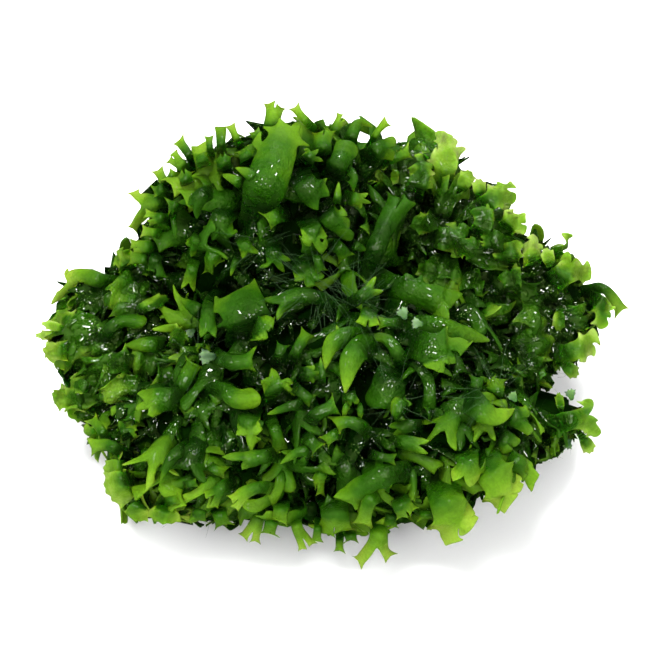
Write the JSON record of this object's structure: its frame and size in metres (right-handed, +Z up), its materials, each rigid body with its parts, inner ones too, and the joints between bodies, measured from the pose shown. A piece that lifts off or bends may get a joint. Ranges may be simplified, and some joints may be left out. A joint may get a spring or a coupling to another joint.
{
  "type": "pellia moss",
  "caption": "Palm-sized clump of pellia, a forking ribbon-shaped water plant, wet and laid down, with a domed crown at one side.",
  "frame": {"origin": "middle of the clump's underside, on the floor", "axes": "+X to the right as the picture shows it, +Y away from the viewer, +Z up; the picture looks down at about 42 degrees along +Y"},
  "size_m": [0.0914, 0.0814, 0.0539],
  "materials": {
    "crown_colony": "wet, satin, matted small fronds",
    "middle_colony": "wet, satin, matted small fronds",
    "right_shoulder_colony": "wet, satin, matted small fronds",
    "left_colony": "wet, satin, matted small fronds",
    "right_colony": "wet, satin, matted small fronds",
    "front_left_colony": "wet, satin, matted small fronds",
    "front_right_colony": "wet, satin, matted small fronds",
    "back_left_colony": "wet, satin, matted small fronds",
    "back_right_colony": "wet, satin, matted small fronds",
    "small_sprig": "wet, satin, matted small fronds",
    "crown_top_fork": "wet, satin to glossy, translucent, young growth",
    "crown_blade": "wet, satin to glossy, translucent, young growth",
    "crown_left_fork": "wet, satin to glossy, translucent, young growth",
    "crown_left_horn": "wet, satin to glossy, translucent, young growth",
    "crown_right_horn": "wet, satin to glossy, translucent, young growth",
    "crown_finger": "wet, satin to glossy, translucent, young growth",
    "crown_round_lobe": "wet, satin to glossy, translucent, young growth",
    "crown_star": "wet, satin to glossy, translucent, young growth",
    "crown_dark_strap": "wet, satin to glossy, translucent, young growth",
    "crown_left_pendant": "wet, satin to glossy, translucent, young growth",
    "crown_claw": "wet, satin to glossy, translucent, young growth",
    "crown_pendant": "wet, satin to glossy, translucent, young growth",
    "crown_right_fork": "wet, satin to glossy, translucent, young growth",
    "shoulder_strap": "wet, satin to glossy, slightly translucent",
    "valley_strap": "wet, satin to glossy, slightly translucent",
    "shoulder_top_ruffle": "wet, satin to glossy, slightly translucent",
    "shoulder_ruffle": "wet, satin to glossy, slightly translucent",
    "shoulder_inner_ruffle": "wet, satin to glossy, slightly translucent",
    "right_scallop": "wet, satin to glossy, translucent, young growth",
    "right_tip": "wet, satin to glossy, translucent, young growth",
    "right_fingers": "wet, satin to glossy, translucent, young growth",
    "left_top_strap": "wet, satin to glossy, translucent, young growth",
    "left_tip": "wet, satin to glossy, translucent, young growth",
    "left_low_point": "wet, satin to glossy, translucent, young growth",
    "left_arc": "wet, satin to glossy, translucent, young growth",
    "left_leaf": "wet, satin to glossy, translucent, young growth",
    "broad_leaf": "wet, satin to glossy, slightly translucent",
    "long_arch": "wet, satin to glossy, slightly translucent",
    "big_fan": "wet, satin to glossy, slightly translucent",
    "upper_claw": "wet, satin to glossy, slightly translucent",
    "lower_claw": "wet, satin to glossy, slightly translucent",
    "curled_strap": "wet, satin to glossy, slightly translucent",
    "hanging_tee": "wet, satin to glossy, slightly translucent",
    "small_fan": "wet, satin to glossy, slightly translucent",
    "centre_strap": "wet, satin to glossy, slightly translucent",
    "horn": "wet, satin to glossy, slightly translucent",
    "low_arch": "wet, satin to glossy, slightly translucent",
    "big_low_strap": "wet, satin to glossy, slightly translucent",
    "dark_fork": "wet, satin to glossy, slightly translucent",
    "rim_lobe": "wet, satin to glossy, translucent, young growth",
    "rim_finger": "wet, satin to glossy, translucent, young growth",
    "rim_short_strap": "wet, satin to glossy, translucent, young growth",
    "bottom_fork": "wet, satin to glossy, slightly translucent",
    "front_fan": "wet, satin to glossy, slightly translucent",
    "front_right_fan": "wet, satin to glossy, slightly translucent",
    "sprig_frond": "wet, satin to glossy, slightly translucent"
  },
  "bodies": {
    "root": {"crown_colony": "crown_colony", "middle_colony": "middle_colony", "right_shoulder_colony": "right_shoulder_colony", "left_colony": "left_colony", "right_colony": "right_colony", "front_left_colony": "front_left_colony", "front_right_colony": "front_right_colony", "back_left_colony": "back_left_colony", "back_right_colony": "back_right_colony", "small_sprig": "small_sprig", "crown_top_fork": "crown_top_fork", "crown_blade": "crown_blade", "crown_left_fork": "crown_left_fork", "crown_left_horn": "crown_left_horn", "crown_right_horn": "crown_right_horn", "crown_finger": "crown_finger", "crown_round_lobe": "crown_round_lobe", "crown_star": "crown_star", "crown_dark_strap": "crown_dark_strap", "crown_left_pendant": "crown_left_pendant", "crown_claw": "crown_claw", "crown_pendant": "crown_pendant", "crown_right_fork": "crown_right_fork", "shoulder_strap": "shoulder_strap", "valley_strap": "valley_strap", "shoulder_top_ruffle": "shoulder_top_ruffle", "shoulder_ruffle": "shoulder_ruffle", "shoulder_inner_ruffle": "shoulder_inner_ruffle", "right_scallop": "right_scallop", "right_tip": "right_tip", "right_fingers": "right_fingers", "left_top_strap": "left_top_strap", "left_tip": "left_tip", "left_low_point": "left_low_point", "left_arc": "left_arc", "left_leaf": "left_leaf", "broad_leaf": "broad_leaf", "long_arch": "long_arch", "big_fan": "big_fan", "upper_claw": "upper_claw", "lower_claw": "lower_claw", "curled_strap": "curled_strap", "hanging_tee": "hanging_tee", "small_fan": "small_fan", "centre_strap": "centre_strap", "horn": "horn", "low_arch": "low_arch", "big_low_strap": "big_low_strap", "dark_fork": "dark_fork", "rim_lobe": "rim_lobe", "rim_finger": "rim_finger", "rim_short_strap": "rim_short_strap", "bottom_fork": "bottom_fork", "front_fan": "front_fan", "front_right_fan": "front_right_fan", "sprig_frond": "sprig_frond"}
  },
  "joints": []
}
